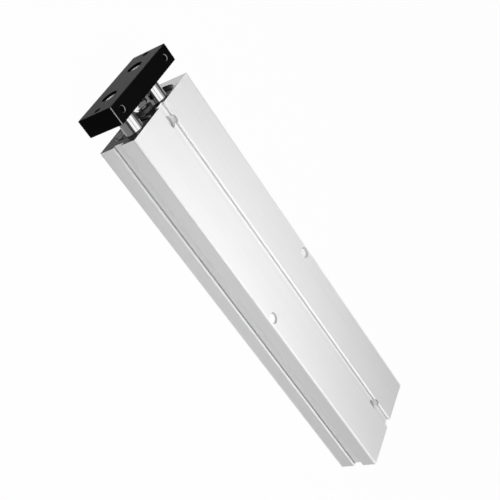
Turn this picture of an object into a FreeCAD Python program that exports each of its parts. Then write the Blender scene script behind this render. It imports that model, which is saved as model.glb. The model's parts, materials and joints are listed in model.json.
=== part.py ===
import FreeCAD, Part
import os
from math import cos, pi, radians, sin

# Twin-rod pneumatic cylinder, drawn fully retracted, in millimetres.
# X runs along the stroke and points out of the rod end, Z points up and the
# origin is the centre of the barrel's underside.

# Cylinder size
bore = 32.0
stroke = 300.0
bore_spacing = 44.0
rod_diameter = 16.0

# Barrel
wide_wall = 3.0
narrow_wall = 11.0
barrel_edge_radius = 0.9
mouth_chamfer = 1.0

# Slots for position sensors, in the upper face and the left face
slot_mouth = 8.2
slot_width = 9.6
slot_lip = 1.3
slot_depth = 3.8
slot_chamfer = 1.0

# Counterbored mounting holes on the centre line
mount_hole_diameter = 6.8
mount_counterbore = 11.5
mount_counterbore_depth = 8.2
front_mount_inset = 16.0
rear_mount_inset = 26.0

# Round recesses in the upper face, a little behind mid length
recess_diameter = 10.0
recess_depth = 1.8
recess_inset = 6.5
recess_setback = 4.5

# Air ports in the right face
port_diameter = 8.6
port_floor = 2.5
passage_diameter = 3.5

# Retaining rings
ring_inset = 2.7
ring_thickness = 1.2
ring_play = 0.1
ring_groove_depth = 1.2
ring_groove_clearance = 0.1
ring_reach = 1.6
ring_opening = 50.0
ring_lug_width = 3.6
ring_lug_reach = 3.0

# Covers in the bore ends
front_cover_length = 29.0
rear_cover_length = 14.0
cover_clearance = 0.1
bearing_clearance = 0.05
rod_seal_length = 5.0
rod_seal_clearance = 0.05
end_margin = 2.1

# Pistons, each a rubber seal and a metal disc clamped on the tail of its rod
piston_seal_length = 4.0
piston_seal_clearance = 0.12
piston_disc_length = 13.0
piston_clearance = 0.2
tail_diameter = 10.0
tail_setback = 0.6
piston_nut_width = 16.0
piston_nut_thickness = 5.0

# End plate that joins the rods
plate_thickness = 16.0
plate_setback = 1.0
plate_chamfer = 0.5
tool_hole_diameter = 6.0
tool_hole_inset = 6.0
edge_hole_diameter = 6.0
edge_hole_inset = 10.0
edge_hole_depth = 9.0

# Socket head screws that hold the plate on the rods
screw_diameter = 8.0
screw_head_diameter = 13.0
screw_head_height = 8.0
screw_key_width = 6.0
screw_key_depth = 4.0
screw_engagement = 14.0
screw_hole_clearance = 0.3
screw_head_clearance = 0.5
screw_sink = 1.8
tapping_runout = 4.0

# Stop screw between the rods
stop_diameter = 8.0
stop_engagement = 9.0
stop_tapping_runout = 2.0
stop_nut_width = 13.0
stop_nut_thickness = 4.0
stop_thread_shown = 0.4
stop_head_thickness = 4.0
stop_flange_diameter = 12.0
stop_flange_thickness = 2.1
stop_bumper_diameter = 17.0
stop_bumper_thickness = 3.3
stop_air_gap = 0.2

# Sizes that follow from the above
bore_radius = bore / 2
rod_radius = rod_diameter / 2
barrel_width = bore_spacing + bore + 2 * narrow_wall
barrel_height = bore + 2 * wide_wall
axis_height = barrel_height / 2
ring_stack = ring_inset + ring_thickness
piston_length = piston_seal_length + piston_disc_length + piston_nut_thickness
barrel_length = (2 * ring_stack + front_cover_length + rod_seal_length + rear_cover_length
                 + 2 * end_margin + piston_length + stroke)
front_end = barrel_length / 2
rear_end = -barrel_length / 2
front_cover_face = front_end - ring_stack
front_cover_back = front_cover_face - front_cover_length
rod_seal_back = front_cover_back - rod_seal_length
rear_cover_face = rear_end + ring_stack
rear_cover_back = rear_cover_face + rear_cover_length
piston_rear = rear_cover_back + end_margin
disc_rear = piston_rear + piston_nut_thickness
seal_rear = disc_rear + piston_disc_length
piston_front = seal_rear + piston_seal_length
plate_gap = (stop_air_gap + stop_bumper_thickness + stop_flange_thickness
             + stop_head_thickness + stop_thread_shown + stop_nut_thickness)
plate_back = front_end + plate_gap
plate_front = plate_back + plate_thickness
plate_width = barrel_width - 2 * plate_setback
plate_height = barrel_height - 2 * plate_setback
screw_seat = plate_front - screw_head_height - screw_sink
screw_point = plate_back - screw_engagement
cover_radius = bore_radius - cover_clearance
guide_radius = rod_radius + bearing_clearance
left = bore_spacing / 2
right = -bore_spacing / 2
sides = (left, right)

vector = FreeCAD.Vector
along_x = vector(1, 0, 0)
along_y = vector(0, 1, 0)
along_z = vector(0, 0, 1)
# How far a cutting tool stands clear of the face it cuts
tool_run = 2.0


def turned(outline, y):
    """Revolve a closed outline of (x, radius) points about a line along X."""
    points = [vector(x, y, axis_height + radius) for x, radius in outline]
    face = Part.Face(Part.makePolygon(points + points[:1]))
    return face.revolve(vector(0, y, axis_height), along_x, 360)


def sleeve(x_start, x_end, inner, outer, y):
    """A plain ring or tube about a line along X."""
    return turned([(x_start, inner), (x_end, inner), (x_end, outer), (x_start, outer)], y)


def shaft(x_start, x_end, radius, y):
    """A plain round bar about a line along X."""
    return Part.makeCylinder(radius, x_end - x_start, vector(x_start, y, axis_height), along_x)


def hexagon(width, x_start, x_end, y):
    """A hexagonal bar about a line along X, with two flats upright."""
    corner = width / 2 / cos(pi / 6)
    angles = [radians(60 * step) for step in range(7)]
    points = [vector(x_start, y + corner * sin(a), axis_height + corner * cos(a)) for a in angles]
    return Part.Face(Part.makePolygon(points)).extrude(along_x * (x_end - x_start))


def sensor_slot(mouth_centre, across, inward):
    """The full-length cutter for a slot whose chamfered lips overhang its floor."""
    half_mouth = slot_mouth / 2
    half_width = slot_width / 2
    half_flare = half_mouth + slot_chamfer
    half = [
        (half_flare, -tool_run),
        (half_flare, 0),
        (half_mouth, slot_chamfer),
        (half_mouth, slot_lip),
        (half_width, slot_lip),
        (half_width, slot_depth),
    ]
    outline = half + [(-offset, depth) for offset, depth in reversed(half)]
    start = mouth_centre - along_x * (barrel_length / 2 + tool_run)
    points = [start + across * offset + inward * depth for offset, depth in outline]
    face = Part.Face(Part.makePolygon(points + points[:1]))
    return face.extrude(along_x * (barrel_length + 2 * tool_run))


def bore_cutter(y):
    """One bore with its chamfered mouths and the two retaining ring grooves."""
    mouth = bore_radius + mouth_chamfer
    groove = bore_radius + ring_groove_depth
    half = [
        (front_cover_face - ring_play, bore_radius),
        (front_cover_face - ring_play, groove),
        (front_end - ring_inset, groove),
        (front_end - ring_inset, bore_radius),
        (front_end - mouth_chamfer, bore_radius),
        (front_end, mouth),
        (front_end + tool_run, mouth),
    ]
    rear = [(-x, radius) for x, radius in reversed(half)]
    return turned(rear + half + [(front_end + tool_run, 0), (rear_end - tool_run, 0)], y)


def mount_hole(x):
    """A through hole on the centre line, counterbored from the upper face."""
    bottom = vector(x, 0, -tool_run)
    seat = vector(x, 0, barrel_height - mount_counterbore_depth)
    hole = Part.makeCylinder(mount_hole_diameter / 2, barrel_height + 2 * tool_run, bottom)
    head = Part.makeCylinder(mount_counterbore / 2, mount_counterbore_depth + tool_run, seat)
    return hole.fuse(head)


def air_port(x):
    """A port in the right face with the passage that feeds both bores."""
    depth = narrow_wall - port_floor
    face = -barrel_width / 2
    outside = vector(x, face - tool_run, axis_height)
    inside = vector(x, face + depth, axis_height)
    mouth = Part.makeCylinder(port_diameter / 2, depth + tool_run, outside, along_y)
    feed = Part.makeCylinder(passage_diameter / 2, left - inside.y, inside, along_y)
    return mouth.fuse(feed)


def make_barrel():
    """The extruded body with its bores, slots, holes and ports."""
    block = Part.makeBox(barrel_length, barrel_width, barrel_height, vector(rear_end, -barrel_width / 2, 0))
    long_edges = [edge for edge in block.Edges if abs(edge.tangentAt(0).x) > 0.9]
    body = block.makeFillet(barrel_edge_radius, long_edges)
    recess_y = barrel_width / 2 - recess_inset
    recess_base = barrel_height - recess_depth
    cutters = [bore_cutter(y) for y in sides]
    cutters += [
        sensor_slot(vector(0, 0, barrel_height), along_y, -along_z),
        sensor_slot(vector(0, barrel_width / 2, axis_height), along_z, -along_y),
        mount_hole(front_end - front_mount_inset),
        mount_hole(rear_end + rear_mount_inset),
        air_port(rod_seal_back - passage_diameter / 2),
        air_port(rear_cover_back + passage_diameter / 2),
    ]
    for y in (recess_y, -recess_y):
        floor = vector(-recess_setback, y, recess_base)
        cutters.append(Part.makeCylinder(recess_diameter / 2, recess_depth + tool_run, floor))
    return body.cut(cutters).removeSplitter()


def make_front_cover(y):
    """A front cover that guides the rod."""
    return sleeve(front_cover_back, front_cover_face, guide_radius, cover_radius, y)


def make_rear_cover(y):
    """A plain plug that closes the rear of one bore."""
    return shaft(rear_cover_face, rear_cover_back, cover_radius, y)


def make_retaining_ring(y, x_start):
    """An internal retaining ring, open at the bottom, with a lug on each end."""
    outer = bore_radius + ring_groove_depth - ring_groove_clearance
    inner = bore_radius - ring_reach
    ring = sleeve(x_start, x_start + ring_thickness, inner, outer, y)
    reach = outer + tool_run
    half_opening = radians(ring_opening / 2)
    gap = [vector(x_start - tool_run, y, axis_height)]
    for side in (-1, 1):
        across = side * reach * sin(half_opening)
        gap.append(vector(x_start - tool_run, y + across, axis_height - reach * cos(half_opening)))
    gap.insert(2, vector(x_start - tool_run, y, axis_height - reach / cos(half_opening)))
    opening = Part.Face(Part.makePolygon(gap + gap[:1])).extrude(along_x * (ring_thickness + 2 * tool_run))
    ring = ring.cut(opening)
    lug_length = ring_lug_reach + ring_reach
    for side in (-1, 1):
        lug = Part.makeBox(ring_thickness, ring_lug_width, lug_length,
                           vector(x_start, -ring_lug_width, -bore_radius))
        if side > 0:
            lug.translate(along_y * ring_lug_width)
        lug.rotate(vector(0, 0, 0), along_x, side * ring_opening / 2)
        lug.translate(vector(0, y, axis_height))
        ring = ring.fuse(lug)
    return ring.removeSplitter()


def make_rod_seal(y):
    """The rubber seal behind a front cover, between the rod and the bore."""
    return sleeve(rod_seal_back, front_cover_back, guide_radius, bore_radius - rod_seal_clearance, y)


def make_rod(y):
    """A piston rod with a tapped front end and a reduced tail for the piston."""
    tail = tail_diameter / 2
    tail_end = piston_rear + tail_setback
    tapping = screw_diameter / 2
    tapped_end = screw_point - tapping_runout
    return turned([
        (tail_end, 0),
        (tail_end, tail),
        (piston_front, tail),
        (piston_front, rod_radius),
        (plate_back, rod_radius),
        (plate_back, tapping),
        (tapped_end, tapping),
        (tapped_end, 0),
    ], y)


def make_piston(y):
    """The metal disc of a piston, with its magnet moulded in."""
    return sleeve(disc_rear, seal_rear, tail_diameter / 2, bore_radius - piston_clearance, y)


def make_piston_seal(y):
    """The rubber disc between a piston and the shoulder of its rod."""
    return sleeve(seal_rear, piston_front, tail_diameter / 2, bore_radius - piston_seal_clearance, y)


def make_piston_nut(y):
    """The nut that clamps a piston and its seal on the rod's tail."""
    nut = hexagon(piston_nut_width, piston_rear, disc_rear, y)
    return nut.cut(shaft(piston_rear - tool_run, disc_rear + tool_run, tail_diameter / 2, y))


def make_end_plate():
    """The plate that joins the rods, with its screw seats and tool holes."""
    base = axis_height - plate_height / 2
    corner = vector(plate_back, -plate_width / 2, base)
    block = Part.makeBox(plate_thickness, plate_width, plate_height, corner)
    plate = block.makeChamfer(plate_chamfer, block.Edges)
    outer_back = plate_back - tool_run
    outer_front = plate_front + tool_run
    cutters = []
    for y in sides:
        hole_radius = screw_diameter / 2 + screw_hole_clearance
        head_radius = screw_head_diameter / 2 + screw_head_clearance
        cutters.append(shaft(outer_back, plate_front, hole_radius, y))
        cutters.append(shaft(screw_seat, outer_front, head_radius, y))
    tool_y = plate_width / 2 - tool_hole_inset
    edge_y = plate_width / 2 - edge_hole_inset
    edge_floor = base + plate_height - edge_hole_depth
    middle = (plate_back + plate_front) / 2
    for side in (-1, 1):
        cutters.append(shaft(outer_back, outer_front, tool_hole_diameter / 2, side * tool_y))
        floor = vector(middle, side * edge_y, edge_floor)
        cutters.append(Part.makeCylinder(edge_hole_diameter / 2, edge_hole_depth + tool_run, floor))
    stop_hole = stop_engagement + stop_tapping_runout
    cutters.append(shaft(outer_back, plate_back + stop_hole, stop_diameter / 2, 0))
    return plate.cut(cutters)


def make_rod_screw(y):
    """A socket head screw that clamps the plate on a rod."""
    head_top = screw_seat + screw_head_height
    head = shaft(screw_seat, head_top, screw_head_diameter / 2, y)
    key = hexagon(screw_key_width, head_top - screw_key_depth, head_top + tool_run, y)
    return head.cut(key).fuse(shaft(screw_point, screw_seat, screw_diameter / 2, y))


def make_stop_bolt():
    """The stop screw: thread, hexagon and the flange behind its rubber face."""
    flange_face = front_end + stop_air_gap + stop_bumper_thickness
    head = flange_face + stop_flange_thickness
    thread = head + stop_head_thickness
    flange = shaft(flange_face, head, stop_flange_diameter / 2, 0)
    screw = shaft(thread, plate_back + stop_engagement, stop_diameter / 2, 0)
    return flange.fuse([hexagon(stop_nut_width, head, thread, 0), screw])


def make_stop_nut():
    """The nut that locks the stop screw against the plate."""
    start = plate_back - stop_nut_thickness
    nut = hexagon(stop_nut_width, start, plate_back, 0)
    return nut.cut(shaft(start - tool_run, plate_back + tool_run, stop_diameter / 2, 0))


def make_stop_bumper():
    """The rubber face of the stop screw."""
    start = front_end + stop_air_gap
    return shaft(start, start + stop_bumper_thickness, stop_bumper_diameter / 2, 0)


def pair(maker):
    """The left and right copies of a piece, as one group of separate solids."""
    return Part.makeCompound([maker(y) for y in sides])


def make_retaining_rings():
    """The rings that hold all four covers."""
    rings = [make_retaining_ring(y, front_cover_face) for y in sides]
    rings += [make_retaining_ring(y, rear_cover_face - ring_thickness) for y in sides]
    return Part.makeCompound(rings)


pieces = {
    "barrel": make_barrel(),
    "front_cover_left": make_front_cover(left),
    "front_cover_right": make_front_cover(right),
    "rear_cover_left": make_rear_cover(left),
    "rear_cover_right": make_rear_cover(right),
    "retaining_rings": make_retaining_rings(),
    "rod_seals": pair(make_rod_seal),
    "end_plate": make_end_plate(),
    "rod_left": make_rod(left),
    "rod_right": make_rod(right),
    "rod_screw_left": make_rod_screw(left),
    "rod_screw_right": make_rod_screw(right),
    "piston_left": make_piston(left),
    "piston_right": make_piston(right),
    "piston_seals": pair(make_piston_seal),
    "piston_nut_left": make_piston_nut(left),
    "piston_nut_right": make_piston_nut(right),
    "stop_bolt": make_stop_bolt(),
    "stop_nut": make_stop_nut(),
    "stop_bumper": make_stop_bumper(),
}

os.makedirs("parts", exist_ok=True)
for name, shape in pieces.items():
    shape.exportStep("parts/" + name + ".step")
    print(name, len(shape.Solids), "solids, valid", shape.isValid())
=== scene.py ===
"""Looks of the twin-rod cylinder: finishes, small fasteners, threads, light and camera."""

import json
import logging
from dataclasses import dataclass
from enum import Enum
from math import cos, pi, radians, sin, tan
from typing import Callable, Mapping, Optional, Sequence, Union

import bpy
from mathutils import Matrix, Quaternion, Vector

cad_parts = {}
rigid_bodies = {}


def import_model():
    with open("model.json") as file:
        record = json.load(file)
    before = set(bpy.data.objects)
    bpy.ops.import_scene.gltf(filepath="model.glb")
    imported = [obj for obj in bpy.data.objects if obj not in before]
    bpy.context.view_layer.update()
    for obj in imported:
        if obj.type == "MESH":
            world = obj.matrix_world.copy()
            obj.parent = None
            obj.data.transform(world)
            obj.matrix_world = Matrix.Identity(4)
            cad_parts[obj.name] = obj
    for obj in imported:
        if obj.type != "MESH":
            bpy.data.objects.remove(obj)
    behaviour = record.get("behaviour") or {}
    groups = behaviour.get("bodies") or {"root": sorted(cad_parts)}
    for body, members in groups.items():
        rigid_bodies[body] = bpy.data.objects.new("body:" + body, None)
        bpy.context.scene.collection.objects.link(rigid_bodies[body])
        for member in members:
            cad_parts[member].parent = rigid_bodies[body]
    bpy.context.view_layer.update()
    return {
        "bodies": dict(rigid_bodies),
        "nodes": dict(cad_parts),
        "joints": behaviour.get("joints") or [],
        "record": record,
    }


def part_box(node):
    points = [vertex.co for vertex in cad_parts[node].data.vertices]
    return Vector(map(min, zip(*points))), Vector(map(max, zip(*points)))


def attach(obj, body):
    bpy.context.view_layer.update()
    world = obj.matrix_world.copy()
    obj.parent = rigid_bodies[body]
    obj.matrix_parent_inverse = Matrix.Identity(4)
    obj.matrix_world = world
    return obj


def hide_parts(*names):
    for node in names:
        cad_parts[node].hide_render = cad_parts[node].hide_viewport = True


LOG = logging.getLogger("twin_rod_cylinder")
MM = 0.001
SIDES = ("left", "right")

# A turned ring has this many points, and edges sharper than this angle stay sharp
TURN_STEPS = 96
SHARP_ANGLE = radians(28)

# A wound thread has this many points a turn, and its ridge is this share of the pitch to each side
THREAD_STEPS = 36
RIDGE_SHARE = 0.42

# The middle of a rounded rim lies this share of the rim inside both of its faces
ROUND_SHARE = 0.3

# A face looks along an axis, or leans towards it, above these parts of its normal
LOOKS_ALONG = 0.9
LEANS_TOWARDS = 0.4

# A Mix node shares socket names among its kinds, so its colours are found by number
MIX_FIRST = 6
MIX_SECOND = 7
MIX_RESULT = 2

Colour = tuple[float, float, float, float]
RingRule = Callable[[float], tuple[float, float]]


class Body(str, Enum):
    """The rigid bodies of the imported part."""

    BARREL = "barrel"
    CARRIAGE = "carriage"


class Slot(str, Enum):
    """The finishes that the record names."""

    CLEAR_ANODISED = "clear_anodised"
    BLACK_ANODISED = "black_anodised"
    CHROME = "chrome"
    BRIGHT_STEEL = "bright_steel"
    DARK_STEEL = "dark_steel"
    TURNED_ALUMINIUM = "turned_aluminium"
    RUBBER = "rubber"


class Shows(Enum):
    """The surfaces that a lamp's light shows on, as (matte, glossy)."""

    EVERYWHERE = (True, True)
    MATTE = (True, False)
    GLOSS = (False, True)


class Axis(Enum):
    """The directions that a turned piece can point in."""

    PLUS_X = (1.0, 0.0, 0.0)
    MINUS_Y = (0.0, -1.0, 0.0)
    PLUS_Z = (0.0, 0.0, 1.0)


def grey(level: float) -> Colour:
    """Return an opaque neutral colour of one linear level."""
    return (level, level, level, 1.0)


@dataclass(frozen=True)
class Wire:
    """One output socket of a shader graph, open to arithmetic."""

    graph: "Graph"
    socket: bpy.types.NodeSocket

    def __add__(self, other: "Operand") -> "Wire":
        """Return self + other."""
        return self.graph.math("ADD", self, other)

    def __sub__(self, other: "Operand") -> "Wire":
        """Return self - other."""
        return self.graph.math("SUBTRACT", self, other)

    def __rsub__(self, other: "Operand") -> "Wire":
        """Return other - self."""
        return self.graph.math("SUBTRACT", other, self)

    def __mul__(self, other: "Operand") -> "Wire":
        """Return self * other."""
        return self.graph.math("MULTIPLY", self, other)

    def __gt__(self, other: "Operand") -> "Wire":
        """Return 1 where self is greater than other, else 0."""
        return self.graph.math("GREATER_THAN", self, other)

    def __lt__(self, other: "Operand") -> "Wire":
        """Return 1 where self is less than other, else 0."""
        return self.graph.math("LESS_THAN", self, other)

    def __abs__(self) -> "Wire":
        """Return the absolute value."""
        return self.graph.math("ABSOLUTE", self, 0.0)


Operand = Union[Wire, float]
SocketValue = Union[Wire, float, Sequence[float]]
Sockets = Mapping[Union[str, int], SocketValue]


class Graph:
    """A shader node tree that is filled by expressions."""

    def __init__(self, tree: bpy.types.NodeTree) -> None:
        """Empty the tree and keep it."""
        self.tree = tree
        tree.nodes.clear()

    def add(
        self,
        kind: str,
        settings: Optional[Mapping[str, object]] = None,
        sockets: Optional[Sockets] = None,
    ) -> bpy.types.Node:
        """Add one node.

        Args:
            kind: The node's type name.
            settings: Properties, which are set first.
            sockets: Values or links of the inputs, by name or by number.

        Returns:
            The new node.
        """
        node = self.tree.nodes.new(kind)
        for name, value in (settings or {}).items():
            setattr(node, name, value)
        for name, value in (sockets or {}).items():
            if isinstance(value, Wire):
                self.tree.links.new(value.socket, node.inputs[name])
            else:
                node.inputs[name].default_value = value
        return node

    def out(self, node: bpy.types.Node, name: Union[str, int] = 0) -> Wire:
        """Return one output of a node."""
        return Wire(self, node.outputs[name])

    def math(self, operation: str, first: Operand, second: Operand) -> Wire:
        """Return the result of one Math node."""
        return self.out(self.add("ShaderNodeMath", {"operation": operation}, {0: first, 1: second}))

    def limited(self, value: Wire) -> Wire:
        """Return a value kept between 0 and 1."""
        return self.math("MAXIMUM", self.math("MINIMUM", value, 1.0), 0.0)

    def position(self) -> Wire:
        """Return the place on the object, in metres."""
        return self.out(self.add("ShaderNodeTexCoord"), "Object")

    def parts(self, vector: Wire) -> tuple[Wire, Wire, Wire]:
        """Return the parts of a vector along X, Y and Z."""
        node = self.add("ShaderNodeSeparateXYZ", sockets={0: vector})
        return self.out(node, 0), self.out(node, 1), self.out(node, 2)

    def facing(self) -> tuple[Wire, Wire, Wire]:
        """Return the parts of the surface normal along the object's own axes."""
        return self.parts(self.out(self.add("ShaderNodeTexCoord"), "Normal"))

    def noise(self, scale: Sequence[float], detail: float = 2.0) -> Wire:
        """Return noise over the object, from 0 to 1.

        Args:
            scale: Features in a metre along X, Y and Z.
            detail: Finer layers that are added.

        Returns:
            The noise.
        """
        settings = {"operation": "MULTIPLY"}
        scaled = self.add("ShaderNodeVectorMath", settings, {0: self.position(), 1: scale})
        sockets = {"Vector": self.out(scaled), "Scale": 1.0, "Detail": detail}
        return self.out(self.add("ShaderNodeTexNoise", sockets=sockets), "Fac")

    def mix(self, factor: Wire, first: SocketValue, second: SocketValue) -> Wire:
        """Return a colour between two colours."""
        sockets = {"Factor": factor, MIX_FIRST: first, MIX_SECOND: second}
        return self.out(self.add("ShaderNodeMix", {"data_type": "RGBA"}, sockets), MIX_RESULT)

    def varied(self, noise: Wire, tone: float, swing: float) -> Wire:
        """Return a grey that noise moves a swing down or up."""
        return self.mix(noise, grey(tone - swing), grey(tone + swing))

    def layered(self, base: Wire, layers: Sequence[tuple[Wire, SocketValue]]) -> Wire:
        """Paint colours over a base.

        Args:
            base: The colour below.
            layers: Masks and colours, the lowest first.

        Returns:
            The painted colour.
        """
        for mask, colour in layers:
            base = self.mix(mask, base, colour)
        return base

    def ramp(self, factor: Wire, stops: Sequence[tuple[float, float]]) -> Wire:
        """Return a grey that runs from stop to stop.

        Args:
            factor: The place on the ramp, from 0 to 1.
            stops: Places on the ramp, each with its level.

        Returns:
            The colour.
        """
        node = self.add("ShaderNodeValToRGB", sockets={0: factor})
        elements = node.color_ramp.elements
        while len(elements) < len(stops):
            elements.new(1.0)
        for element, (position, level) in zip(elements, stops):
            element.position = position
            element.color = grey(level)
        return self.out(node)

    def bump(self, height: Wire, strength: float, distance: float) -> Wire:
        """Return a normal shaped by a height."""
        sockets = {"Height": height, "Strength": strength, "Distance": distance}
        return self.out(self.add("ShaderNodeBump", sockets=sockets))

    def shader(self, sockets: Sockets) -> Wire:
        """Return a Principled shader."""
        return self.out(self.add("ShaderNodeBsdfPrincipled", sockets=sockets))

    def blend(self, factor: Wire, first: Wire, second: Wire) -> Wire:
        """Return a shader between two shaders."""
        return self.out(self.add("ShaderNodeMixShader", sockets={0: factor, 1: first, 2: second}))


def swung(noise: Wire, level: float, swing: float) -> Wire:
    """Return a level that noise moves half a swing down or up."""
    return (noise - 0.5) * swing + level


class Finish:
    """What every procedural finish shares."""

    def make(self, name: str) -> bpy.types.Material:
        """Make the finish into a material.

        Args:
            name: The material's name.

        Returns:
            The material.
        """
        material = bpy.data.materials.new(name)
        material.use_nodes = True
        graph = Graph(material.node_tree)
        graph.add("ShaderNodeOutputMaterial", sockets={"Surface": self.shader(graph)})
        return material

    def shader(self, graph: Graph) -> Wire:
        """Return the finish's shader, built in a material's graph."""
        raise NotImplementedError


@dataclass(frozen=True)
class MilledEnd:
    """Milled ends of the extrusion, with a painted reflection: dark on the left where the black plate
    is mirrored, light on the right.
    """

    darkened_tone: float = 0.2
    darkened_metallic: float = 0.8
    darkened_sheen: float = 0.2
    bright_tone: float = 0.45
    bright_metallic: float = 0.75
    bright_from: float = 34.0 * MM
    darkened_to: float = 14.0 * MM
    depth: float = 1.2 * MM
    roughness: float = 0.2
    roughness_swing: float = 0.08

    def shader(self, graph: Graph, across: Wire, grain: Wire, normal: Wire) -> Wire:
        """Build the shader.

        Args:
            graph: The material's graph.
            across: The place along Y.
            grain: The fine milling marks.
            normal: The surface's normal.

        Returns:
            The shader.
        """
        shared = {"Roughness": swung(grain, self.roughness, self.roughness_swing), "Normal": normal}
        darkened = graph.shader({
            "Base Color": grey(self.darkened_tone),
            "Metallic": self.darkened_metallic,
            "Specular Tint": grey(self.darkened_sheen),
            **shared,
        })
        bright = graph.shader({
            "Base Color": grey(self.bright_tone),
            "Metallic": self.bright_metallic,
            **shared,
        })
        # Painted reflection: light at the right end, giving way to dark from the middle to the left
        leftward = (across + self.bright_from) * (1.0 / (self.bright_from - self.darkened_to))
        return graph.blend(graph.limited(leftward), bright, darkened)


@dataclass(frozen=True)
class SkinPlace:
    """Where a point of the extrusion's skin lies."""

    rearward: Wire  # From 0 at the front end to 1 at the rear end
    wide: Wire  # 1 where a wide face is the nearest long face, 0 where a narrow one is
    depth: Wire  # Depth below the nearest long face
    offset: Wire  # Distance from the middle line of that face
    upright: Wire  # 1 on walls that stand square on that face
    chamfer: Wire  # 1 on the chamfered lips of the slots
    corner: Wire  # 1 along the long edges of the extrusion
    recess: Wire  # 1 on the walls of the round recesses and on their floors near the walls
    hole: Wire  # 1 as near to the middle plane as the mounting holes reach


@dataclass(frozen=True)
class ClearAnodised(Finish):
    """Clear anodised extrusion with faint die lines and milled ends, with painted light and shade on
    lips and edges, painted light on floors and hole walls, and painted shade on upper walls, undercuts,
    recess rims, deep holes and bores.

    A pair of tones is for the wide faces and for the narrow ones. A face counts as sloped where
    its normal has more than the slope along both Y and Z.
    """

    half_length: float
    half_width: float
    half_height: float
    tone: float = 0.82
    tone_swing: float = 0.03
    # Painted light and shade on slot lips and long edges: darker than the face at the front end,
    # lighter towards the rear end
    lip_light_tones: tuple[float, float] = (0.68, 0.64)
    edge_light_tone: float = 0.7
    rear_edge_light_tone: float = 1.0
    # Painted shade on the upper parts of walls that stand square
    wall_shade_tone: float = 0.55
    # Painted light on slot floors, lightest beside their walls
    lit_slot_tones: tuple[float, float] = (0.8, 1.0)
    lit_slot_corner_tone: float = 1.0
    # Painted shade in the undercuts beside the slot walls
    undercut_shade_tones: tuple[float, float] = (0.66, 0.36)
    # Painted light on recess floors
    lit_recess_tone: float = 0.97
    # Painted shade at recess rims, painted light on hole walls below the mouth, painted shade deep in
    # the holes and in the bores
    recess_rim_shade_tone: float = 0.55
    counterbore_light_tone: float = 1.0
    hole_shade_tone: float = 0.55
    bore_tone: float = 0.02
    edge_band: float = 1.6 * MM
    lip_depth: float = 1.4 * MM
    wall_depth: float = 1.85 * MM
    slot_depth: float = 2.6 * MM
    slot_half: float = 4.8 * MM
    slot_skin: float = 0.1 * MM
    recess_setback: float = 4.5 * MM
    recess_inset: float = 6.5 * MM
    recess_radius: float = 5.2 * MM
    recess_middle: float = 3.8 * MM
    recess_skin: float = 0.2 * MM
    bore_depth: float = 3.9 * MM
    hole_depth: float = 6.0 * MM
    hole_reach: float = 5.9 * MM
    slope: float = 0.3
    metallic: float = 0.04
    specular: float = 0.12
    roughness: float = 0.38
    roughness_swing: float = 0.08
    die_line: Sequence[float] = (6.0, 700.0, 700.0)
    die_line_share: float = 0.6
    grain: Sequence[float] = (2600.0, 2600.0, 2600.0)
    bump: float = 0.25
    relief: float = 0.02 * MM
    ends: MilledEnd = MilledEnd()

    def shader(self, graph: Graph) -> Wire:
        """Build the shader of the skin and the ends.

        Args:
            graph: The material's graph.

        Returns:
            The shader.
        """
        lines = graph.noise(self.die_line, detail=3.0)
        grain = graph.noise(self.grain)
        marks = lines * self.die_line_share + grain * (1.0 - self.die_line_share)
        normal = graph.bump(marks, self.bump, self.relief)
        skin = graph.shader({
            "Base Color": self.skin_colour(graph, lines),
            "Metallic": self.metallic,
            "Specular IOR Level": self.specular,
            "Roughness": swung(lines, self.roughness, self.roughness_swing),
            "Normal": normal,
        })
        along, across, _ = graph.parts(graph.position())
        milled = self.ends.shader(graph, across, grain, normal)
        at_end = abs(along) > self.half_length - self.ends.depth
        return graph.blend(at_end * (abs(graph.facing()[0]) > LOOKS_ALONG), skin, milled)

    def skin_place(self, graph: Graph) -> SkinPlace:
        """Work out where on the skin a point lies.

        Args:
            graph: The material's graph.

        Returns:
            The masks and measures of the point.
        """
        along, across, height = graph.parts(graph.position())
        _, along_y, along_z = graph.facing()
        rise = abs(height - self.half_height)
        below_wide = self.half_height - rise
        below_narrow = self.half_width - abs(across)
        depth = graph.math("MINIMUM", below_wide, below_narrow)
        wide = below_wide < below_narrow
        narrow = 1.0 - wide
        outward = abs(along_z) * wide + abs(along_y) * narrow
        sloped = (abs(along_y) > self.slope) * (abs(along_z) > self.slope)
        from_recess = along + self.recess_setback
        beside_recess = abs(across) - (self.half_width - self.recess_inset)
        square = from_recess * from_recess + beside_recess * beside_recess
        in_ring = (square > self.recess_middle ** 2) * (square < self.recess_radius ** 2)
        return SkinPlace(
            rearward=0.5 - along * (0.5 / self.half_length),
            wide=wide,
            depth=depth,
            offset=abs(across) * wide + rise * narrow,
            upright=outward < self.slope,
            chamfer=sloped * (depth < self.lip_depth),
            corner=(below_wide < self.edge_band) * (below_narrow < self.edge_band),
            recess=wide * in_ring * (depth > self.recess_skin),
            hole=abs(across) < self.hole_reach,
        )

    def skin_colour(self, graph: Graph, lines: Wire) -> Wire:
        """Paint the long faces, with painted light and shade on their edges, slots, recesses and holes.

        Args:
            graph: The material's graph.
            lines: The die lines.

        Returns:
            The colour.
        """
        place = self.skin_place(graph)
        depth = place.depth
        # Painted light and shade on lips and long edges, darker at the front end and lighter towards
        # the rear end
        lips = self.by_face(graph, place, self.lip_light_tones)
        painted_edge_light = graph.mix(place.corner, lips, grey(self.edge_light_tone))
        wear_and_edge_light = graph.mix(place.rearward, painted_edge_light, grey(self.rear_edge_light_tone))
        # Painted shade on the upper parts of square walls
        wall = place.upright * (depth < self.wall_depth)
        # Painted light on slot floors, lightest beside their walls, and on recess floors
        spread = place.offset * (1.0 / self.slot_half)
        slot = self.by_face(graph, place, self.lit_slot_tones)
        slot = graph.mix(spread * spread, slot, grey(self.lit_slot_corner_tone))
        floor = graph.mix(depth > self.slot_depth, grey(self.lit_recess_tone), slot)
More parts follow.
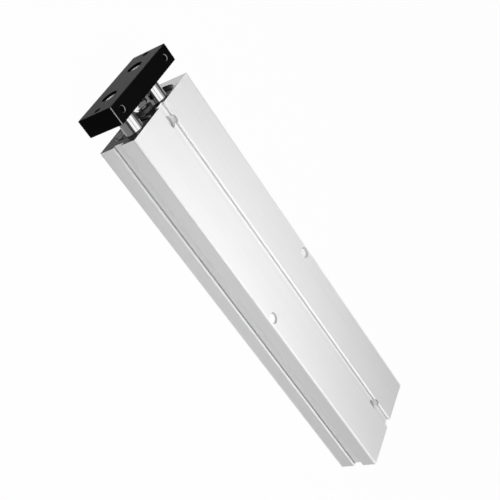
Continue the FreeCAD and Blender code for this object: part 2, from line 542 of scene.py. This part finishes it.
        # Painted shade in the undercuts beside the slot walls
        beside_slot = abs(place.offset - self.slot_half) < self.slot_skin
        undercut = place.upright * beside_slot * (depth > self.lip_depth)
        # Layers over the die-lined base: painted light and shade on lips and edges, painted shade on
        # upper walls, painted light on floors, painted shade at recess rims, painted light on hole
        # walls, painted shade in undercuts, deep holes and bores
        return graph.layered(graph.varied(lines, self.tone, self.tone_swing), (
            (graph.math("MAXIMUM", place.chamfer, place.corner), wear_and_edge_light),
            (wall, grey(self.wall_shade_tone)),
            ((depth > self.lip_depth) * (1.0 - wall), floor),
            (place.recess, grey(self.recess_rim_shade_tone)),
            (place.hole * place.upright * (depth > self.wall_depth), grey(self.counterbore_light_tone)),
            (undercut, self.by_face(graph, place, self.undercut_shade_tones)),
            (place.hole * (depth > self.hole_depth), grey(self.hole_shade_tone)),
            ((1.0 - place.hole) * (depth > self.bore_depth), grey(self.bore_tone)),
        ))

    @staticmethod
    def by_face(graph: Graph, place: SkinPlace, tones: tuple[float, float]) -> Wire:
        """Return the first tone near the wide faces and the second near the narrow ones."""
        wide, narrow = tones
        return graph.mix(place.wide, grey(narrow), grey(wide))


@dataclass(frozen=True)
class BlackAnodised(Finish):
    """Anodised or phosphated black, with a ground face towards +X that is lighter where asked, partly
    as painted light, and a painted highlight on upward edges where asked.
    """

    tone: float = 0.0018
    tone_swing: float = 0.0008
    face_tone: float = 0.0018
    face_swing: float = 0.12
    painted_edge_light_tone: float = 0.0018
    painted_edge_light_from: float = 0.0
    roughness: float = 0.42
    roughness_swing: float = 0.14
    specular: float = 0.012
    grain: Sequence[float] = (1500.0, 1500.0, 1500.0)
    ground: Sequence[float] = (400.0, 90.0, 2600.0)
    bump: float = 0.3
    relief: float = 0.03 * MM

    def shader(self, graph: Graph) -> Wire:
        """Build the shader.

        Args:
            graph: The material's graph.

        Returns:
            The shader.
        """
        grain = graph.noise(self.grain, detail=3.0)
        ground = graph.noise(self.ground)
        along_x, along_y, along_z = graph.facing()
        _, across, _ = graph.parts(graph.position())
        # The ground face towards +X takes its own tone, lighter partly as painted light where asked
        face = along_x > LOOKS_ALONG
        # Edges that lean up take a painted highlight beyond a distance across
        edge = (abs(along_y) > LEANS_TOWARDS) * (along_z > LEANS_TOWARDS)
        colour = graph.layered(graph.varied(grain, self.tone, self.tone_swing), (
            (face, graph.varied(ground, self.face_tone, self.face_tone * self.face_swing)),
            (edge * (abs(across) > self.painted_edge_light_from), grey(self.painted_edge_light_tone)),
        ))
        marks = grain * (1.0 - face) + ground * face
        return graph.shader({
            "Base Color": colour,
            "Roughness": swung(grain, self.roughness, self.roughness_swing),
            "Specular IOR Level": self.specular,
            "Normal": graph.bump(marks, self.bump, self.relief),
        })


@dataclass(frozen=True)
class Grained(Finish):
    """A finish with one fine grain that moves its tone, its gloss and its surface."""

    tone: float
    roughness: float
    tone_swing: float
    roughness_swing: float
    grain: Sequence[float]
    detail: float
    bump: float
    relief: float
    metallic: float = 0.0
    specular: float = 0.5

    def shader(self, graph: Graph) -> Wire:
        """Build the shader.

        Args:
            graph: The material's graph.

        Returns:
            The shader.
        """
        grain = graph.noise(self.grain, self.detail)
        return graph.shader({
            "Base Color": self.colour(graph, grain),
            "Metallic": self.metallic,
            "Specular IOR Level": self.specular,
            "Roughness": swung(grain, self.roughness, self.roughness_swing),
            "Normal": graph.bump(grain, self.bump, self.relief),
        })

    def colour(self, graph: Graph, grain: Wire) -> Wire:
        """Return the colour that the grain moves."""
        return graph.varied(grain, self.tone, self.tone_swing)


@dataclass(frozen=True)
class TurnedMetal(Grained):
    """Metal that was turned or ground about X, with fine marks round the axis."""

    tone_swing: float = 0.02
    roughness_swing: float = 0.06
    grain: Sequence[float] = (5000.0, 30.0, 30.0)
    detail: float = 2.0
    bump: float = 0.8
    relief: float = 0.04 * MM
    metallic: float = 1.0


@dataclass(frozen=True)
class MouldedRubber(Grained):
    """Matte black rubber with a fine moulded grain."""

    tone: float = 0.01
    roughness: float = 0.6
    tone_swing: float = 0.004
    roughness_swing: float = 0.2
    grain: Sequence[float] = (1800.0, 1800.0, 1800.0)
    detail: float = 3.0
    bump: float = 0.3
    relief: float = 0.04 * MM
    specular: float = 0.25


@dataclass(frozen=True)
class CloudedMetal(Grained):
    """Plated metal with a fine cloudy coat, with painted shade on upper faces where asked."""

    tone: float = 0.5
    roughness: float = 0.42
    tone_swing: float = 0.05
    roughness_swing: float = 0.12
    grain: Sequence[float] = (700.0, 700.0, 700.0)
    detail: float = 4.0
    bump: float = 0.25
    relief: float = 0.01 * MM
    metallic: float = 1.0
    upper_shade_share: float = 1.0

    def colour(self, graph: Graph, grain: Wire) -> Wire:
        """Paint the coat, with painted shade on upper faces where asked.

        Args:
            graph: The material's graph.
            grain: The coat's clouds.

        Returns:
            The colour.
        """
        plain = super().colour(graph, grain)
        share = self.upper_shade_share
        upper = graph.varied(grain, self.tone * share, self.tone_swing * share)
        # Painted shade on faces that lean up
        return graph.mix(graph.facing()[2] > LEANS_TOWARDS, plain, upper)


@dataclass(frozen=True)
class PlatedScrew(CloudedMetal):
    """Plated screws along X, one on each side, with painted shade inside the key."""

    metallic: float = 0.3
    tone: float = 0.9
    roughness: float = 0.35
    side: float = 0.0
    height: float = 0.0
    top: float = 0.0
    key_radius: float = 3.5 * MM
    key_lead: float = 0.3 * MM
    key_shade_tone: float = 0.12

    def colour(self, graph: Graph, grain: Wire) -> Wire:
        """Paint the coat, with painted shade inside the key.

        Args:
            graph: The material's graph.
            grain: The coat's clouds.

        Returns:
            The colour.
        """
        along, across, height = graph.parts(graph.position())
        aside = abs(across) - self.side
        above = height - self.height
        inside = aside * aside + above * above < self.key_radius ** 2
        # Painted shade inside the hex key
        key = inside * (along < self.top - self.key_lead)
        return graph.mix(key, super().colour(graph, grain), grey(self.key_shade_tone))


@dataclass(frozen=True)
class PaleFloor(Finish):
    """Pale floor that is white where it is seen and keeps a faint shadow."""

    tone: float = 0.5
    tone_swing: float = 0.01
    fleck: Sequence[float] = (3.0, 3.0, 3.0)
    glow: float = 0.98

    def shader(self, graph: Graph) -> Wire:
        """Build the shader, which glows only for the camera, gloss and glass.

        Args:
            graph: The material's graph.

        Returns:
            The shader.
        """
        colour = graph.varied(graph.noise(self.fleck), self.tone, self.tone_swing)
        matte = graph.add("ShaderNodeBsdfDiffuse", sockets={"Color": colour})
        white = graph.add("ShaderNodeEmission", sockets={"Color": grey(1.0), "Strength": 1.0})
        path = graph.add("ShaderNodeLightPath")
        seen = graph.out(path, "Is Camera Ray") + graph.out(path, "Is Glossy Ray")
        seen = seen + graph.out(path, "Is Transmission Ray")
        return graph.blend(seen * self.glow, graph.out(matte), graph.out(white))


class Wardrobe:
    """Every finish of the part, made once."""

    # Painted highlight on the plate's upper edges within this distance of its ends
    painted_edge_light_band: float = 1.0 * MM

    def __init__(self) -> None:
        """Make the materials, fitted to the solids' boxes."""
        low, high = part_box("barrel")
        half = (high - low) / 2
        barrel = ClearAnodised(half.x, half.y, half.z)
        chrome = TurnedMetal(tone=0.17, roughness=0.05, roughness_swing=0.02, bump=0.12)
        self.by_slot: dict[Slot, bpy.types.Material] = {
            Slot.CLEAR_ANODISED: barrel.make("clear anodised extrusion"),
            Slot.BLACK_ANODISED: BlackAnodised().make("black anodised covers"),
            Slot.CHROME: chrome.make("hard chrome"),
            Slot.BRIGHT_STEEL: CloudedMetal().make("bright plated steel"),
            Slot.DARK_STEEL: BlackAnodised(tone=0.008, roughness=0.5).make("phosphated steel"),
            Slot.TURNED_ALUMINIUM: TurnedMetal(tone=0.66, roughness=0.28).make("turned aluminium"),
            Slot.RUBBER: MouldedRubber().make("black rubber"),
        }
        _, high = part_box("rod_screw_left")
        head = centre_line("rod_screw_left", high.x)
        screws = PlatedScrew(side=head.y, height=head.z, top=head.x)
        self.screws = screws.make("zinc plated screws")
        # Painted shade: the upper faces of the stop screw and its nut keep a small share of the tone
        stop = CloudedMetal(tone=0.9, upper_shade_share=0.03, roughness=0.15)
        self.stop = stop.make("top_shaded plated steel")
        rims = CloudedMetal(tone=0.1, tone_swing=0.06, roughness=0.5)
        self.rims = rims.make("worn rims")
        covers = BlackAnodised(roughness=0.25, roughness_swing=0.04)
        self.covers = covers.make("polished black covers")
        # The plate's face towards +X is lighter, partly as painted light, and its upper end edges take
        # a painted highlight
        _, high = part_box("end_plate")
        painted_edge_light_from = high.y - self.painted_edge_light_band
        plate = BlackAnodised(face_tone=0.058, painted_edge_light_tone=0.32, painted_edge_light_from=painted_edge_light_from)
        self.plate = plate.make("black anodised plate")

    @staticmethod
    def dress(piece: bpy.types.Object, material: bpy.types.Material) -> None:
        """Give every material slot of an object one material.

        Args:
            piece: The object.
            material: The material.
        """
        if not piece.material_slots:
            piece.data.materials.append(material)
        for material_slot in piece.material_slots:
            material_slot.material = material


@dataclass
class Lathe:
    """Builds closed meshes from rings of points about an axis."""

    base: Vector
    axis: Axis

    def point(self, along: float, radius: float, angle: float) -> Vector:
        """Return one point of a ring.

        Args:
            along: Distance from the base along the axis.
            radius: Distance from the axis.
            angle: Angle about the axis, in radians.

        Returns:
            The point in the row frame, in metres.
        """
        forward = Vector(self.axis.value)
        first = Vector((1, 0, 0)) if self.axis is Axis.PLUS_Z else Vector((0, 0, 1))
        second = forward.cross(first)
        return self.base + forward * along + (first * cos(angle) + second * sin(angle)) * radius

    def turn(self, name: str, rings: Sequence[RingRule], closed: bool) -> bpy.types.Object:
        """Join rings into one mesh.

        Args:
            name: The object's name.
            rings: Rules that give (along, radius) for an angle, in order along the skin.
            closed: True joins the last ring to the first, as in a tube; False ends in flat caps.

        Returns:
            The object, in place.
        """
        angles = [2 * pi * step / TURN_STEPS for step in range(TURN_STEPS)]
        points = [self.point(*rule(angle), angle) for rule in rings for angle in angles]
        faces: list[tuple[int, ...]] = []
        count = len(rings)
        for ring in range(count if closed else count - 1):
            here = ring * TURN_STEPS
            there = (ring + 1) % count * TURN_STEPS
            for step in range(TURN_STEPS):
                after = (step + 1) % TURN_STEPS
                faces.append((here + step, here + after, there + after, there + step))
        if not closed:
            faces.append(tuple(reversed(range(TURN_STEPS))))
            faces.append(tuple(range((count - 1) * TURN_STEPS, count * TURN_STEPS)))
        return make_object(name, points, faces)

    def thread(
        self,
        name: str,
        radii: tuple[float, float],
        span: tuple[float, float],
        pitch: float,
    ) -> bpy.types.Object:
        """Wind the ridge of an inside thread.

        Args:
            name: The object's name.
            radii: Radius of the hole and of the ridge's inner edge.
            span: Where the thread starts and ends along the axis.
            pitch: Distance between turns.

        Returns:
            The object, in place.
        """
        wall, crest = radii
        start, end = span
        half = pitch * RIDGE_SHARE
        run = end - start - 2 * half
        steps = int(run / pitch * THREAD_STEPS)
        points: list[Vector] = []
        faces: list[tuple[int, ...]] = []
        # Each step has three points: the foot of the ridge, its crest and its other foot
        for step in range(steps + 1):
            angle = 2 * pi * step / THREAD_STEPS
            along = start + half + run * step / steps
            points.append(self.point(along - half, wall, angle))
            points.append(self.point(along, crest, angle))
            points.append(self.point(along + half, wall, angle))
            if step:
                old = 3 * step - 3
                new = 3 * step
                faces.append((old, old + 1, new + 1, new))
                faces.append((old + 1, old + 2, new + 2, new + 1))
                faces.append((old + 2, old, new, new + 2))
        last = 3 * steps
        faces.append((2, 1, 0))
        faces.append((last, last + 1, last + 2))
        return make_object(name, points, faces)


def make_object(
    name: str,
    points: Sequence[Vector],
    faces: Sequence[tuple[int, ...]],
) -> bpy.types.Object:
    """Make a smooth object with outward faces and sharp corners kept.

    Args:
        name: The object's name.
        points: Its points, in metres.
        faces: The numbers of each face's points.

    Returns:
        The object, in the scene.
    """
    mesh = bpy.data.meshes.new(name)
    mesh.from_pydata([tuple(point) for point in points], [], faces)
    mesh.validate()
    mesh.shade_smooth()
    mesh.set_sharp_from_angle(angle=SHARP_ANGLE)
    piece = bpy.data.objects.new(name, mesh)
    bpy.context.scene.collection.objects.link(piece)
    turn_outward(mesh)
    return piece


def turn_outward(mesh: bpy.types.Mesh) -> None:
    """Flip a closed mesh whose faces point inward.

    Args:
        mesh: The mesh.
    """
    volume = 0.0
    mesh.calc_loop_triangles()
    for triangle in mesh.loop_triangles:
        first, second, third = (mesh.vertices[index].co for index in triangle.vertices)
        volume += first.dot(second.cross(third))
    if volume < 0:
        mesh.flip_normals()


def circle(along: float, radius: float) -> RingRule:
    """Return the rule of a plain round ring."""
    return lambda angle: (along, radius)


def hexagon_radius(across: float, angle: float) -> float:
    """Return the distance to a hexagon's side at an angle, with a corner at angle zero."""
    sector = (angle + pi / 6) % (pi / 3) - pi / 6
    return across / 2 / cos(pi / 6 - abs(sector))


def hexagon(along: float, across: float) -> RingRule:
    """Return the rule of a plain hexagonal ring."""
    return lambda angle: (along, hexagon_radius(across, angle))


def chamfered(along: float, across: float, face: float, slope: float, sign: int) -> RingRule:
    """Return the rule of a hexagon's edge under a coned chamfer.

    Args:
        along: Place of the end face along the axis.
        across: Width across the flats.
        face: Radius of the round flat that the chamfer leaves.
        slope: Angle of the chamfer, in radians.
        sign: 1 where the hexagon lies ahead of the face, -1 where it lies behind.

    Returns:
        The ring's rule.
    """
    def rule(angle: float) -> tuple[float, float]:
        """Return the place along the axis and the radius at an angle."""
        radius = hexagon_radius(across, angle)
        return along + sign * max(radius - face, 0.0) * tan(slope), radius

    return rule


def centre_line(node: str, along: float) -> Vector:
    """Return the point of a node's axis along X at a given X."""
    low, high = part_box(node)
    return Vector((along, (low.y + high.y) / 2, (low.z + high.z) / 2))


def outer_radius(node: str) -> float:
    """Return the radius of a node that is round about X."""
    low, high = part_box(node)
    return (high.y - low.y) / 2


def lathe_along(node: str) -> tuple[Lathe, float]:
    """Return a lathe at the low end of a node's axis along X, and the node's length."""
    low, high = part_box(node)
    return Lathe(centre_line(node, low.x), Axis.PLUS_X), high.x - low.x


@dataclass
class SubAssembly:
    """What every group of pieces shares."""

    wardrobe: Wardrobe

    def place(
        self,
        piece: bpy.types.Object,
        body: Body,
        slot: Slot,
        material: Optional[bpy.types.Material] = None,
    ) -> None:
        """Dress a new piece and let it ride on a body.

        Args:
            piece: The new object, in place.
            body: The body that carries it.
            slot: Its finish in the record.
            material: A finish of its own, where it isn't the slot's.
        """
        self.wardrobe.dress(piece, material or self.wardrobe.by_slot[slot])
        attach(piece, body.value)
        LOG.info("%s rides on %s", piece.name, body.value)


class SolidParts(SubAssembly):
    """The solids that show as they are, in their finishes."""

    def dress_all(self, frame: Mapping[str, object]) -> None:
        """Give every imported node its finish.

        Args:
            frame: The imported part.
        """
        nodes: Mapping[str, bpy.types.Object] = frame["nodes"]
        for entry in frame["record"]["subparts"]:
            slot = Slot(entry["material_slot"])
            self.wardrobe.dress(nodes[entry["node"]], self.wardrobe.by_slot[slot])
            LOG.info("%s wears %s", entry["node"], slot.value)
        self.wardrobe.dress(nodes["end_plate"], self.wardrobe.plate)
        covers = [f"front_cover_{side}" for side in SIDES]
        for name in covers:
            self.wardrobe.dress(nodes[name], self.wardrobe.covers)
        # Gloss passes these by, so that the rods mirror the studio and not the barrel's end
        for name in ("barrel", *covers, "retaining_rings"):
            nodes[name].visible_glossy = False


@dataclass
class RodScrews(SubAssembly):
    """The socket head screws that hold the plate on the rods."""

    head: float = 13.0 * MM
    head_height: float = 8.0 * MM
    shank: float = 8.0 * MM
    tip: float = 0.8 * MM
    rim: float = 0.6 * MM
    knurls: int = 32
    knurl_depth: float = 0.12 * MM
    key: float = 6.0 * MM
    key_depth: float = 4.0 * MM
    key_lead: float = 0.15 * MM
    key_lead_depth: float = 0.35 * MM
    key_cone: float = 0.6 * MM
    key_cone_tip: float = 0.6 * MM

    def knurled(self, along: float) -> RingRule:
        """Return the rule of a ring round the knurled side of the head."""
        radius = self.head / 2
        return lambda angle: (along, radius - self.knurl_depth * (0.5 + 0.5 * cos(self.knurls * angle)))

    def build(self) -> None:
        """Build both screws in place of their solids."""
        radius = self.head / 2
        thread = self.shank / 2
        key_corner = self.key / 2 / cos(pi / 6)
        middle = self.rim * ROUND_SHARE
        for side in SIDES:
            node = f"rod_screw_{side}"
            lathe, top = lathe_along(node)
            seat = top - self.head_height
            piece = lathe.turn(f"cap_screw_{side}", [
                circle(0, thread - self.tip),
                circle(self.tip, thread),
                circle(seat, thread),
                circle(seat, radius - self.rim / 2),
                self.knurled(seat + self.rim / 2),
                self.knurled(top - self.rim),
                circle(top - middle, radius - middle),
                circle(top, radius - self.rim),
                circle(top, key_corner + self.key_lead),
                hexagon(top - self.key_lead_depth, self.key),
                hexagon(top - self.key_depth, self.key),
                circle(top - self.key_depth - self.key_cone, self.key_cone_tip),
            ], closed=False)
            self.place(piece, Body.CARRIAGE, Slot.BRIGHT_STEEL, self.wardrobe.screws)
            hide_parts(node)


@dataclass
class StopScrew(SubAssembly):
    """The stop screw between the rods, its locking nut and its rubber face."""

    across: float = 13.0 * MM
    face_share: float = 0.96
    chamfer: float = radians(30)
    under_chamfer: float = radians(10)
    thread: float = 8.0 * MM
    tip: float = 0.8 * MM
    head: float = 4.0 * MM
    flange: float = 2.1 * MM
    flange_diameter: float = 12.0 * MM
    flange_rim: float = 0.3 * MM
    nut_lead: float = 0.4 * MM
    rubber_rim: float = 0.5 * MM
    dimple_depth: float = 0.15 * MM
    dimple_shares: tuple[float, float] = (0.35, 0.45)

    def build(self) -> None:
        """Build the screw, the nut and the rubber face in place of their solids."""
        self.build_screw()
        self.build_nut()
        self.build_rubber_face()

    def build_screw(self) -> None:
        """Build the screw with a chamfered hexagon and a rounded flange."""
        lathe, end = lathe_along("stop_bolt")
        face = self.across / 2 * self.face_share
        flange = self.flange_diameter / 2
        flange_face = flange - self.flange_rim
        top = self.flange + self.head
        core = self.thread / 2
        piece = lathe.turn("stop_screw", [
            circle(0, flange_face),
            circle(self.flange_rim, flange),
            circle(self.flange - self.flange_rim, flange),
            circle(self.flange, flange_face),
            chamfered(self.flange, self.across, flange_face, self.under_chamfer, sign=1),
            chamfered(top, self.across, face, self.chamfer, sign=-1),
            circle(top, face),
            circle(top, core),
            circle(end - self.tip, core),
            circle(end, core - self.tip),
        ], closed=False)
        self.place(piece, Body.CARRIAGE, Slot.BRIGHT_STEEL, self.wardrobe.stop)
        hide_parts("stop_bolt")

    def build_nut(self) -> None:
        """Build the locking nut with both of its chamfers."""
        lathe, length = lathe_along("stop_nut")
        face = self.across / 2 * self.face_share
        bore = self.thread / 2
        lead = self.nut_lead
        piece = lathe.turn("locking_nut", [
            circle(lead, bore),
            circle(0, bore + lead),
            circle(0, face),
            chamfered(0, self.across, face, self.chamfer, sign=1),
            chamfered(length, self.across, face, self.chamfer, sign=-1),
            circle(length, face),
            circle(length, bore + lead),
            circle(length - lead, bore),
        ], closed=True)
        self.place(piece, Body.CARRIAGE, Slot.BRIGHT_STEEL, self.wardrobe.stop)
        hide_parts("stop_nut")

    def build_rubber_face(self) -> None:
        """Build the moulded rubber face with rounded rims and a dimple."""
        lathe, depth = lathe_along("stop_bumper")
        radius = outer_radius("stop_bumper")
        rim = self.rubber_rim
        middle = rim * ROUND_SHARE
        dimple_floor, dimple_mouth = self.dimple_shares
        piece = lathe.turn("rubber_face", [
            circle(self.dimple_depth, radius * dimple_floor),
            circle(0, radius * dimple_mouth),
            circle(0, radius - rim),
            circle(middle, radius - middle),
            circle(rim, radius),
            circle(depth - rim, radius),
            circle(depth - middle, radius - middle),
            circle(depth, radius - rim),
        ], closed=False)
        self.place(piece, Body.CARRIAGE, Slot.RUBBER)
        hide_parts("stop_bumper")


@dataclass(frozen=True)
class TappedHole:
    """One tapped hole: its mouth's centre, the way out of it, its size and what carries it."""

    name: str
    mouth: Vector
    axis: Axis
    radius: float
    depth: float
    body: Body
    slot: Slot


@dataclass
class Threads(SubAssembly):
    """The threads and rims of the tapped holes, placed by the part's own mounts."""

    mounts: Mapping[str, Mapping[str, object]]
    crest_share: float = 0.86
    pitch: float = 1.0 * MM
    rim: float = 0.45 * MM
    rim_drop: float = 0.02 * MM
    rim_edge: float = 0.05 * MM
    edge_depth: float = 9.0 * MM

    def build(self) -> None:
        """Build the threads of the plate and of the air ports."""
        low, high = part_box("end_plate")
        for hole in self.row("tool_holes", "spacing_x_mm", Axis.PLUS_X, high.x - low.x):
            self.build_hole(hole)
        for hole in self.row("plate_top_holes", "spacing_y_mm", Axis.PLUS_Z, self.edge_depth):
            self.build_hole(hole, self.wardrobe.rims)
        for name in ("front_port", "rear_port"):
            self.build_hole(self.port(name))

    def row(self, name: str, spacing: str, axis: Axis, depth: float) -> list[TappedHole]:
        """Place both holes of a row across the plate.

        Args:
            name: The mount that places the row.
            spacing: The name of its spacing.
            axis: The way out of the holes.
            depth: Depth of the thread.

        Returns:
            The holes, left and right.
        """
        mount = self.mounts[name]
        radius = mount["dims"]["hole_r_mm"] * MM
        reach = mount["dims"][spacing] * MM / 2
        holes: list[TappedHole] = []
        for side, offset in zip(SIDES, (reach, -reach)):
            mouth = Vector(mount["pos_m"]) + Vector((0, offset, 0))
            label = f"{name}_{side}"
            hole = TappedHole(label, mouth, axis, radius, depth, Body.CARRIAGE, Slot.BLACK_ANODISED)
            holes.append(hole)
        return holes

    def port(self, name: str) -> TappedHole:
        """Place an air port on the barrel's right face.

        Args:
            name: The mount that places the port.

        Returns:
            The port.
        """
        mount = self.mounts[name]
        radius = mount["dims"]["r_mm"] * MM
        depth = mount["dims"]["length_mm"] * MM
        low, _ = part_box("barrel")
        mouth = Vector((mount["pos_m"][0], low.y, mount["pos_m"][2]))
        return TappedHole(name, mouth, Axis.MINUS_Y, radius, depth, Body.BARREL, Slot.CLEAR_ANODISED)

    def build_hole(self, hole: TappedHole, rims: Optional[bpy.types.Material] = None) -> None:
        """Build the thread and the coned rim of one hole.

        Args:
            hole: The hole.
            rims: The rim's own finish, where it isn't the hole's.
        """
        wall = hole.radius
        crest = wall * self.crest_share
        top = hole.depth - self.rim_drop
        foot = hole.depth - self.rim
        lathe = Lathe(hole.mouth - Vector(hole.axis.value) * hole.depth, hole.axis)
        ridge = lathe.thread(f"{hole.name}_thread", (wall, crest), (self.rim, foot), self.pitch)
        self.place(ridge, hole.body, hole.slot)
        cone = lathe.turn(f"{hole.name}_rim", [
            circle(top, wall),
            circle(top, wall - self.rim_edge),
            circle(foot, crest),
            circle(foot, wall),
        ], closed=True)
        self.place(cone, hole.body, hole.slot, rims)


@dataclass
class RodWipers(SubAssembly):
    """The lipped rubber rings where the rods leave the front covers."""

    rod_gap: float = 0.05 * MM
    height: float = 0.9 * MM
    lip: float = 0.5 * MM
    groove: float = 0.9 * MM
    groove_height: float = 0.495 * MM
    shoulder: float = 1.4 * MM
    shoulder_height: float = 0.405 * MM
    foot: float = 1.6 * MM

    def build(self) -> None:
        """Build one ring on each front cover."""
        for side in SIDES:
            _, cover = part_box(f"front_cover_{side}")
            inner = outer_radius(f"rod_{side}") + self.rod_gap
            lathe = Lathe(centre_line(f"rod_{side}", cover.x), Axis.PLUS_X)
            piece = lathe.turn(f"rod_wiper_{side}", [
                circle(0, inner),
                circle(self.height, inner),
                circle(self.height, inner + self.lip),
                circle(self.groove_height, inner + self.groove),
                circle(self.shoulder_height, inner + self.shoulder),
                circle(0, inner + self.foot),
            ], closed=True)
            self.place(piece, Body.BARREL, Slot.RUBBER)


@dataclass(frozen=True)
class SoftLamp:
    """A soft box that faces one point."""

    name: str
    place: Sequence[float]
    aim: Sequence[float]
    size: tuple[float, float]
    watts: float
    shows: Shows = Shows.MATTE

    def build(self) -> None:
        """Build the lamp, hidden from the camera."""
        data = bpy.data.lights.new(self.name, "AREA")
        data.shape = "RECTANGLE"
        data.size, data.size_y = self.size
        data.energy = self.watts
        lamp = bpy.data.objects.new(self.name, data)
        lamp.location = self.place
        look = Vector(self.aim) - Vector(self.place)
        lamp.rotation_mode = "QUATERNION"
        lamp.rotation_quaternion = look.to_track_quat("-Z", "Y")
        lamp.visible_camera = False
        lamp.visible_diffuse, lamp.visible_glossy = self.shows.value
        bpy.context.scene.collection.objects.link(lamp)


def overhead_strip(name: str, across: float, width: float, watts: float) -> SoftLamp:
    """Make a long strip above the part that shows only as a gleam on metal.

    Args:
        name: The lamp's name.
        across: Its place along Y.
        width: Its width.
        watts: Its power.

    Returns:
        The lamp.
    """
    along = 0.4
    above = 0.45
    length = 2.4
    place = (along, across, above)
    aim = (along, across, 0.0)
    return SoftLamp(name, place, aim, (length, width), watts, Shows.GLOSS)


@dataclass
class Studio:
    """A pale floor with raised edges under a soft dome that is brighter overhead."""

    floor: PaleFloor = PaleFloor()
    floor_reach: float = 12.0
    floor_edge: float = 1.7
    floor_drop: float = 0.2 * MM
    dome: Sequence[tuple[float, float]] = (
        (0.0, 0.18),
        (0.5, 0.3),
        (1.0, 0.4),
    )
    lamps: Sequence[SoftLamp] = (
        SoftLamp(
            "sky_box", place=(0.0, 0.9, 1.4), aim=(0.0, 0.0, 0.0), size=(1.4, 1.4), watts=4.0,
        ),
        SoftLamp(
            "overhead_box", place=(0.09, 0.12, 0.32), aim=(0.09, 0.12, 0.0), size=(0.3, 0.3), watts=0.7,
        ),
        SoftLamp(
            "side_box", place=(-0.55, 0.9, 0.25), aim=(-0.18, 0.0, 0.02), size=(0.9, 0.6), watts=1.9,
        ),
        SoftLamp(
            "front_box", place=(0.43, -0.3, 0.03), aim=(0.22, -0.02, 0.02), size=(0.1, 0.1), watts=0.6,
            shows=Shows.EVERYWHERE,
        ),
        overhead_strip("left_strip", across=0.36, width=0.38, watts=14.0),
        overhead_strip("right_strip", across=-0.01, width=0.29, watts=11.3),
        overhead_strip("edge_strip", across=-0.27, width=0.19, watts=2.4),
    )

    def build(self) -> None:
        """Build the floor, the dome and the lamps."""
        self.build_floor()
        self.build_dome()
        for lamp in self.lamps:
            lamp.build()

    def build_floor(self) -> None:
        """Build the floor, with edges that close low views."""
        reach = self.floor_reach
        square = ((-reach, -reach), (reach, -reach), (reach, reach), (-reach, reach))
        heights = (-self.floor_drop, self.floor_edge)
        corners = [Vector((x, y, z)) for z in heights for x, y in square]
        edges = [(side, (side + 1) % 4, (side + 1) % 4 + 4, side + 4) for side in range(4)]
        floor = make_object("floor", corners, [(0, 1, 2, 3), *edges])
        floor.data.materials.append(self.floor.make("pale floor"))

    def build_dome(self) -> None:
        """Build the world's light."""
        world = bpy.data.worlds.new("soft dome")
        world.use_nodes = True
        bpy.context.scene.world = world
        graph = Graph(world.node_tree)
        _, _, height = graph.parts(graph.out(graph.add("ShaderNodeTexCoord"), "Generated"))
        sockets = {"Color": graph.ramp(height, self.dome), "Strength": 1.0}
        light = graph.add("ShaderNodeBackground", sockets=sockets)
        graph.add("ShaderNodeOutputWorld", sockets={"Surface": graph.out(light)})


@dataclass
class PhotoCamera:
    """The camera of the photograph, rolled so that the part lies aslant in the picture."""

    place: Sequence[float] = (0.371806, 0.525037, 0.48699)
    aim: Sequence[float] = (0.0232, -0.02693, 0.0)
    roll: float = radians(74.82)
    lens: float = 64.754
    sensor: float = 36.0
    nearest: float = 0.01
    farthest: float = 100.0

    def build(self) -> None:
        """Build the camera and make it the scene's own."""
        data = bpy.data.cameras.new("photo_camera")
        data.lens = self.lens
        data.sensor_width = self.sensor
        data.clip_start = self.nearest
        data.clip_end = self.farthest
        camera = bpy.data.objects.new("photo_camera", data)
        bpy.context.scene.collection.objects.link(camera)
        look = Vector(self.aim) - Vector(self.place)
        camera.rotation_mode = "QUATERNION"
        camera.rotation_quaternion = look.to_track_quat("-Z", "Y") @ Quaternion((0, 0, 1), self.roll)
        camera.location = self.place
        bpy.context.scene.camera = camera


def main() -> None:
    """Load the frame, build and dress every piece, then light and frame it."""
    logging.basicConfig(level=logging.INFO, format="%(message)s")
    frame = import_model()
    bpy.context.scene.view_settings.view_transform = "Standard"
    wardrobe = Wardrobe()
    mounts = {mount["name"]: mount for mount in frame["record"]["mounts"]}
    SolidParts(wardrobe).dress_all(frame)
    RodScrews(wardrobe).build()
    StopScrew(wardrobe).build()
    Threads(wardrobe, mounts).build()
    RodWipers(wardrobe).build()
    Studio().build()
    PhotoCamera().build()


if __name__ == "__main__":
    main()
